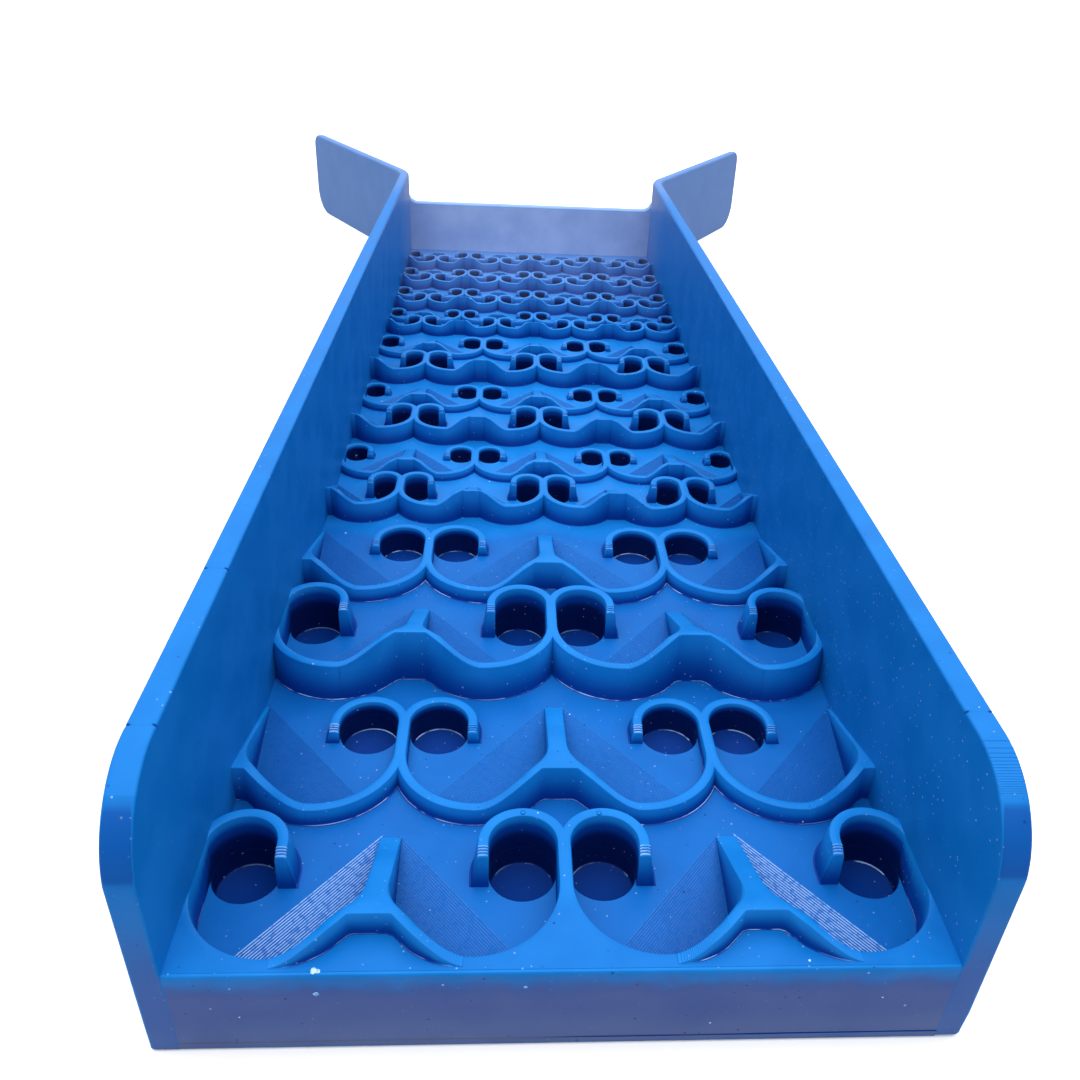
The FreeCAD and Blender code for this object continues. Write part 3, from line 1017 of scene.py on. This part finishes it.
# %% The base plate
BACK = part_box("base_plate")[1].y / MM
base, holes = Shell(), []
for zone in ZONES:
    s, coarse = Scroll(zone), zone == "coarse"
    count = 40 if coarse else 28
    pocket, sump = pocket_shell(s, count), sump_shell(s)
    rim = [on_circle(s.pocket_x, s.pocket_y, s.pocket + grow, angle)
           for angle, grow in pocket_rim(s, count)]
    for row in range(1, s.rows + 1):
        for x0, side, place in scrolls(zone, row):
            for loop in (rim, sump_outline(s)):
                loop = [place((*p, 0))[:2] for p in loop]
                holes.append(loop[::-1] if side < 0 else loop)
            stripe_glint = 0.64
            if coarse and row == 1:      # painted highlights on the layers are strongest at the ends of the first row
                stripe_glint = 0.8 if abs(x0) > 1 else 0.66
            base.take(pocket, place, side < 0, 1.0 if coarse else 0.5)
            base.take(sump, place, side < 0, stripe_glint)
side_line = [FRONT + 1.8] + [FRONT + BEND + (BACK - FRONT - BEND) * k / 6 for k in range(7)]
right_line = [(wall_face(y) + SPARE, y) for y in side_line]
outline = right_line + [(-x, y) for x, y in reversed(right_line)]
sheet_start = len(base.points)
flat_sheet(base, outline, holes, FLOOR)
# painted shade on the floor between the tall coarse ridges, none further back
coarse_end = row_front("medium", 1) - 4
for k in range(sheet_start, len(base.points)):
    base.foot[k] = 0.45 if base.points[k][1] < coarse_end else 0.0
top = [base.add((*p, FLOOR)) for p in outline]
under = [base.add((p[0] - copysign(SPARE, p[0]), p[1], 0)) for p in outline]
base.faces += [(top[a], under[a], under[b], top[b]) for a, b in around(len(outline))]
base.faces.append(tuple(reversed(under)))
build_piece("base_floor", base, tray_blue, ["base_plate"], smooth=32, weld=False)

# %% [markdown]
# The lip is the low bar across the front, with a level land behind it that runs flush into the
# first row's lobes. A bevelled box would do, but the real face isn't straight: a thin groove
# near its foot grows uneven towards the right, where the mould's halves met. So the bar is one
# profile, repeated at a few stations across the tray, and only the groove's depth changes
# between them. The land is a flat sheet cut along the lobes. A few pale crumbs stick to both.

# %% Land and crumbs
def lip_back_edge():
    """Where the land ends: the first row's lobes and the feet of its crests, left to right."""
    s = Scroll("coarse")
    start = 180 + degrees(acos(s.lobe_x / s.lobe_top))
    stop = 360 - degrees(acos((s.crest_x - s.lobe_x) / s.lobe_top))
    half = [on_circle(s.lobe_x, s.lobe_y, s.lobe_top, start + (stop - start) * k / 30)
            for k in range(31)] + [(s.reach, 0.1)]
    edge = []
    for _, side, place in scrolls("coarse", 1):
        edge += [place((*p, 0))[:2] for p in (half if side > 0 else half[::-1])]
    return [p for p in edge if abs(p[0]) <= HALF_PATTERN]


def crumb(shell, centre, radius, upward):
    """A tiny pale crumb stuck to a face that looks up or to the front."""
    rng = random.Random(round(centre[0] * 10))
    rings = []
    for share, rise in ((1.0, -0.02), (0.75, 0.35), (0.3, 0.5)):
        ring = []
        for k in range(9):
            turn, out = radians(40 * k), radius * share * rng.uniform(0.75, 1.15)
            a, b, c = out * cos(turn), out * sin(turn), radius * rise * 0.6
            step = (a, b, c) if upward else (a, -c, b)
            # edge 2 gives the crumb its own pale colour through the highlight group
            ring.append((*(p + q for p, q in zip(centre, step)), 0, 2))
        rings.append(ring)
    shell.faces.append(tuple(shell.skin(rings)[-1]))


back_edge = lip_back_edge()
print("the land's back edge has %d points" % len(back_edge))

# %% The front lip
LAND = FLOOR + Scroll("coarse").tall
LAND_FRONT = 0.7        # where the land begins, behind the lip's front face
LAND_UNDER = FLOOR - 0.4
LIP_SET_BACK = 0.1      # room for crumbs on the lip's face
PROFILE = [(1.8, 0.0), (0.5, 0.0), (0.3, 0.05), (0.16, 0.18), (0.1, 0.4),
           (0.1, 1.0), (1.1, 1.1), (1.1, 1.2), (0.1, 1.32),      # the groove
           (0.1, LAND - 0.42), (0.12, LAND - 0.32), (0.15, LAND - 0.29), (0.16, LAND - 0.22),
           (0.2, LAND - 0.12), (0.3, LAND - 0.06), (0.44, LAND - 0.06), (0.48, LAND),
           (LAND_FRONT, LAND), (LAND_FRONT, FLOOR), (1.8, LAND_UNDER)]
GROOVE = 6, 7           # the profile's points at the bottom of the groove
STATIONS = [(-HALF, 0), (-6, 0), (2, 0.07), (12, 0.03), (20, 0.09), (HALF - 3, 0.11),
            (HALF, 0.06)]                                        # x, depth of the groove
CRUMBS = [(-23.7, 0.55, LAND, 0.32), (-23.3, 0.5, LAND, 0.25), (22.7, 1.0, LAND, 0.14),
          (-23.6, 0.1, 8.6, 0.3), (-4.2, 0.1, 9.2, 0.2), (-11.9, 0.1, 9.7, 0.12),
          (14.0, 0.1, 3.1, 0.12), (-31.0, 0.1, 5.2, 0.1), (30.5, 0.1, 6.8, 0.11)]

lip, rows = Shell(), []
for x, cut in STATIONS:
    row = []
    for k, (y, z) in enumerate(PROFILE):
        foot = LAND_FOOT if z > LAND - 0.01 else 0.0
        # painted shade at the bottom of the groove
        if k in GROOVE:
            y, foot = LIP_SET_BACK + (y - LIP_SET_BACK) * cut, 2.2
        row.append((x, FRONT + y, z, foot))
    rows.append(row)
rows = lip.skin(rows)
lip.faces += [tuple(rows[0]), tuple(reversed(rows[-1]))]
land_front = FRONT + LAND_FRONT
outline = [(-HALF_PATTERN, land_front), (HALF_PATTERN, land_front)] + back_edge[::-1]
clean = [p for p, q in zip(outline, outline[1:] + outline[:1])
         if (p[0] - q[0]) ** 2 + (p[1] - q[1]) ** 2 > 1e-8]
flat_sheet(lip, clean, [], LAND, foot=LAND_FOOT)
flat_sheet(lip, clean, [], LAND_UNDER, True)
lip.skin([[(*p, LAND, LAND_FOOT) for p in clean], [(*p, LAND_UNDER) for p in clean]])
for x, y, z, radius in CRUMBS:
    crumb(lip, (x, FRONT + y, z), radius, z == LAND)
build_piece("front_lip_bar", lip, lip_blue, ["front_lip"], flat=True)

# %% [markdown]
# Walls, wings and header plate are panels. A panel is an outline with a thickness, and its
# edges are rounded by drawing the outline a little smaller near both faces. The same outline
# then follows the wall's path: straight along the channel, round the bend and out along the wing.

# %% Panels with rounded edges
PANEL_FOOT = 0.18    # the panels' blue is a little deeper than the ridge tops'


def panel_shell(top, foot, thickness, place, flat_until):
    """top and foot are equally long chains of (s, z, inset s, inset z, inner radius, outer
    radius), from the front end to the back end. place(s, t, z) gives the point in the tray.
    Both faces are flat up to s = flat_until."""
    loop = top + foot[::-1]
    near = [d for d in (0, 0.05, 0.12, 0.22, 0.35, 0.6, 0.9, 1.2) if d < thickness / 2]
    depths = near + [thickness / 2] + [thickness - d for d in near[::-1]]
    rows = []
    for t in depths:
        row = []
        for s_at, z, ds, dz, r_in, r_out in loop:
            radius, gap = (r_in, t) if t < thickness / 2 else (r_out, thickness - t)
            inset = radius - sqrt(radius ** 2 - max(radius - gap, 0) ** 2)
            row.append((*place(s_at + ds * inset, t, z + dz * inset), PANEL_FOOT))
        rows.append(row)
    shell, n, m = Shell(), len(loop), len(top)
    rows = shell.skin(rows)
    last = max(k for k in range(m) if top[k][0] <= flat_until + 1e-6)
    for ring, flip in ((rows[0], False), (rows[-1], True)):
        caps = [ring[:last + 1] + ring[n - 1 - last:]]
        caps += [[ring[k], ring[k + 1], ring[n - 2 - k], ring[n - 1 - k]]
                 for k in range(last, m - 1)]
        shell.faces += [tuple(reversed(cap)) if flip else tuple(cap) for cap in caps]
    return shell


def along_wall(s, t, z, side=1):
    """A point at s along the right wall's inner face, t into its thickness and z up."""
    turn = clamp((s - BEND) / BEND_LENGTH) * FLARE
    before, past = min(s, BEND), max(s - BEND - BEND_LENGTH, 0)
    x = HALF + BEND_RADIUS - (BEND_RADIUS - t) * cos(turn) + past * sin(FLARE)
    y = FRONT + before + (BEND_RADIUS - t) * sin(turn) + past * cos(FLARE)
    return side * x, y, z


print("the wing leaves the wall at x = %.2f" % along_wall(BEND + BEND_LENGTH, 0, 0)[0])

# %% [markdown]
# A wall is a panel whose front end is a quarter circle. A few things on it are marks of how the
# tray was made: the upper part of the right nose still shows the master's printed layers, and
# small steps cross the rims where the mould's halves met. They are built into the outline.

# %% Side walls
def rim_height(s, scars):
    """The rim falls slowly towards the wings, and each scar is a small step down."""
    dip = sum(depth for at, depth in scars if at - 0.01 <= s <= at + 0.16)
    return RIM + (WING_RIM - RIM) * clamp((s - NOSE) / (BEND - NOSE)) - dip


def nose_stops(layer, printed):
    """(turn in degrees, height) round the nose. The upper part goes by printed layers, which
    show as small steps where printed is true."""
    stops = [(4.5 * k, NOSE * sin(radians(4.5 * k))) for k in range(13)]
    start = stops[-1][1]
    for k in range(1, int((NOSE - start) / layer) + 1):
        level = start + k * layer
        turn = degrees(asin(level / NOSE))
        stops += [(turn - 0.02, level - (0.35 * layer if printed else 0)), (turn, level)]
    return stops + [(90, NOSE)]


def wall_chains(scars, outer_heel, printed):
    """Top and foot chains of a wall whose front end is flush with the lip's face."""
    heel = outer_heel + 0.05
    top = [(LIP_SET_BACK, RIM - NOSE, 1.0, 0.0, 0.3, 0.35)] * 3
    foot = [(LIP_SET_BACK, LAND + 0.3, 1.0, 0.0, 0.3, 0.35),
            (LIP_SET_BACK, LAND - 0.02, 1.0, 0.0, 0.02, 0.35),
            (LIP_SET_BACK, 4.0, 1.0, 0.0, 0.02, 0.4)]
    for turn, level in nose_stops(0.11, printed):
        turn = radians(turn)
        s = NOSE * (1 - cos(turn))
        back = max(heel - s, 0)
        s = max(s, LIP_SET_BACK)
        top.append((s, RIM - NOSE + level, cos(turn), -sin(turn), 0.3, 0.35))
        z = heel - sqrt(heel ** 2 - back ** 2)
        foot.append((s, z, back / heel, (heel - z) / heel, 0.02, outer_heel))
    steps = [NOSE + (BEND - NOSE) * k / 24 for k in range(1, 25)]
    steps += [at + past for at, _ in scars for past in (-0.1, 0, 0.15, 0.25)]
    steps += [BEND + BEND_LENGTH * k / 14 for k in range(1, 15)]
    for s in sorted(steps):
        soft = 0.35 + 0.5 * clamp((s - 150) / 80)
        soft += 0.4 if any(at <= s <= at + 0.16 for at, _ in scars) else 0.0
        top.append((s, rim_height(s, scars), 0.0, -1.0, soft, soft))
        foot.append((s, 0.0, 0.0, 1.0, 0.02, outer_heel))
    return top, foot


print("the nose has %d stops" % len(nose_stops(0.11, True)))

# %% Flared wings
def wing_chains(length, lower):
    """A wing whose end has two round corners. Near the wall its lower edge curves down to the
    wall's foot."""
    start, join = BEND + BEND_LENGTH, 6.0
    end = start + length
    stops = sorted({start + join * sin(radians(a)) for a in range(0, 91, 10)}
                   | {start + 20, start + 40, end - 8}
                   | {end - 8 * (1 - sin(radians(a))) for a in range(0, 91, 9)})
    chains = []
    for level, up, radius, soft in ((WING_RIM, -1, 3.5, 0.85), (lower, 1, 8.0, 0.6)):
        chain = []
        for s in stops:
            turn = asin(clamp((s - (end - radius)) / radius))
            z = level + up * radius * (1 - cos(turn))
            if up > 0:
                z *= sqrt(1 - clamp((start + join - s) / join) ** 2)
            chain.append((s, z, -sin(turn), up * cos(turn), soft, soft))
        chains.append(chain)
    return chains


wing_low, wing_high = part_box("right_flare_wing")
wing = wing_chains((wing_high.y / MM - WALL_END) / cos(FLARE), wing_low.z / MM)
print("a wing's chains have %d points each" % len(wing[0]))

# %% Walls and wings, right and left
right_wall = wall_chains([(13.0, 0.06)], 0.8, True)
left_wall = wall_chains([(10.8, 0.05), (36.5, 0.06)], 0.5, False)
for side, label, wall in ((1, "right", right_wall), (-1, "left", left_wall)):
    place = functools.partial(along_wall, side=side)
    build_piece(label + "_wall", panel_shell(*wall, WALL, place, BEND), wall_blue,
                [label + "_side_wall"], flat=True)
    build_piece(label + "_wing", panel_shell(*wing, WALL, place, 1e9), wing_blue,
                [label + "_flare_wing"], flat=True)

# %% [markdown]
# The header plate closes the channel between the two bends. It is a panel too, this time across
# the tray, and its top curves up at both ends into the walls.

# %% The header plate
header_low, header_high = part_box("header_plate")
header_front = header_low.y / MM
FILLET = 2.8         # radius where its top meets a wall
inner, reach = wall_face(header_front), wall_face(WALL_END) + SPARE
top, foot = [], []
for k in range(61):
    x = -reach + 2 * reach * k / 60
    gap = min(max(inner - abs(x), 0), FILLET)
    rise = FILLET - sqrt(FILLET ** 2 - (FILLET - gap) ** 2)
    top.append((x, header_high.z / MM + rise, 0.0, -1.0, 0.7, 0.4))
    foot.append((x, 0.0, 0.0, 1.0, 0.02, 0.5))
shell = panel_shell(top, foot, WALL_END - header_front,
                    lambda s, t, z: (s, header_front + t, z), 1e9)
build_piece("header", shell, header_blue, ["header_plate"], flat=True)
